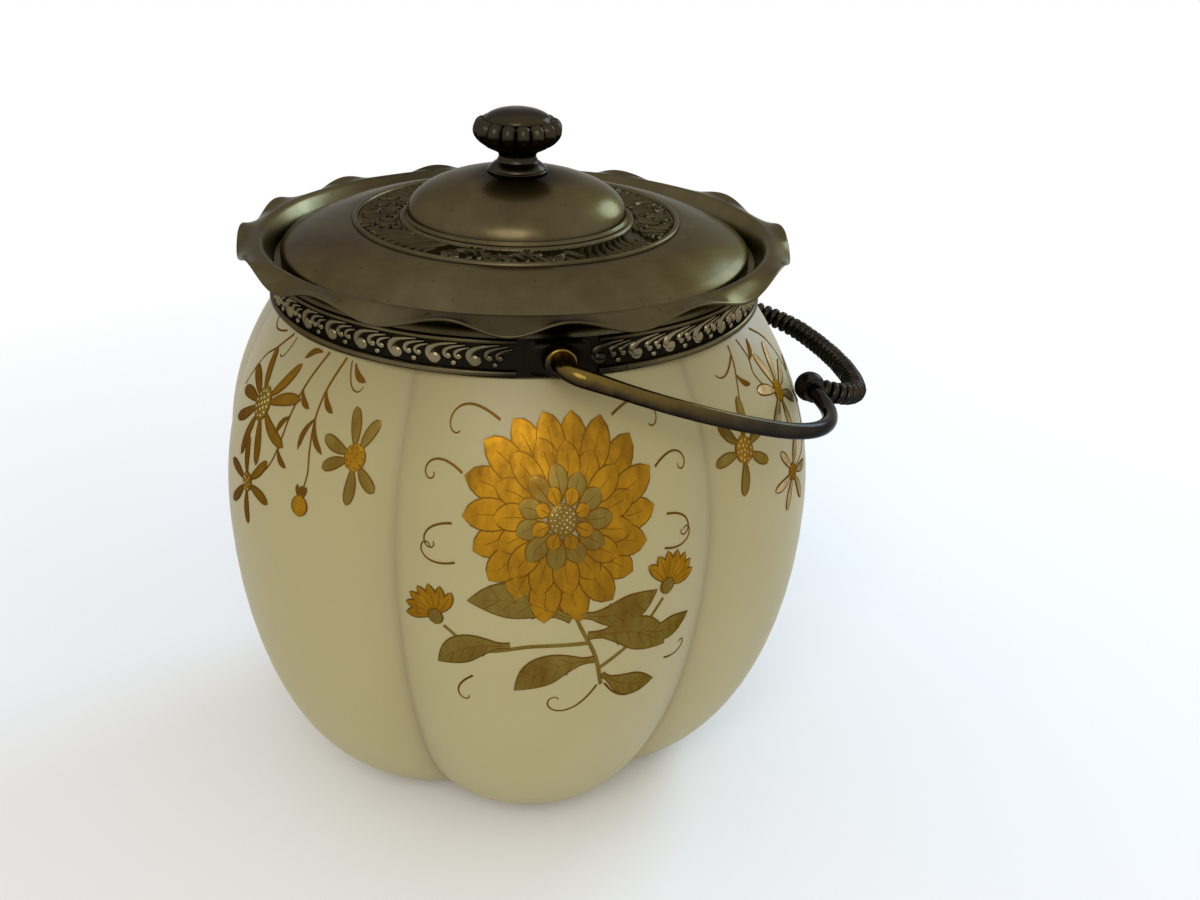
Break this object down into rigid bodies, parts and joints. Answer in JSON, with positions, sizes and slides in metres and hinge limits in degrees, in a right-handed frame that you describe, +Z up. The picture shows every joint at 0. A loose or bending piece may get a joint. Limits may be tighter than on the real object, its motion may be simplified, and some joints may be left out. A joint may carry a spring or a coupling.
{
  "type": "biscuit jar",
  "caption": "Melon-lobed opal glass biscuit jar with a plated collar and scalloped rim, a domed lift-off lid with a knob, and a swinging wire bail with a wound grip.",
  "frame": {"origin": "centre of the flat underside of the glass jar", "axes": "+Z up through the knob, +X towards the side on which the bail rests, -Y through the front ear"},
  "size_m": [0.1713, 0.161, 0.1795],
  "materials": {
    "opal_glass": "satin opal, ivory, with gilt painting",
    "plaster": "matte plaster of Paris",
    "embossed_plate": "silver plate, embossed, dark with tarnish in the ground",
    "plate": "worn satin silver plate with warm tarnish",
    "dark_plate": "dark tarnished plate",
    "brass": "aged brass, greyer away from the ears",
    "steel": "plain steel"
  },
  "bodies": {
    "jar": {"glass_jar": "opal_glass", "plaster_ring": "plaster", "collar_band": "embossed_plate", "lower_wire": "plate", "upper_wire": "plate", "scalloped_rim": "plate", "lid_seat": "plate", "ear_plate_front": "dark_plate", "ear_plate_rear": "dark_plate", "ear_boss_front": "brass", "ear_boss_rear": "brass"},
    "bail": {"bail_arm_front": "brass", "bail_arm_rear": "brass", "knuckle_front": "dark_plate", "knuckle_rear": "dark_plate", "grip_core": "plate", "grip_coil": "dark_plate"},
    "lid": {"lid_shell": "plate", "lid_guide_ring": "plate", "knob_foot": "plate", "knob_head": "plate", "knob_stud": "steel", "knob_washer": "steel", "knob_nut": "steel"}
  },
  "joints": [
    {"name": "bail_swing", "type": "hinge", "parent": "jar", "child": "bail", "pos_m": [0, 0, 0.1376], "axis": [0, -1, 0], "range_deg": [0, 216.5]},
    {"name": "lid_lift", "type": "slide", "parent": "jar", "child": "lid", "axis": [0, 0, 1], "range_m": [0, 0.06]}
  ]
}
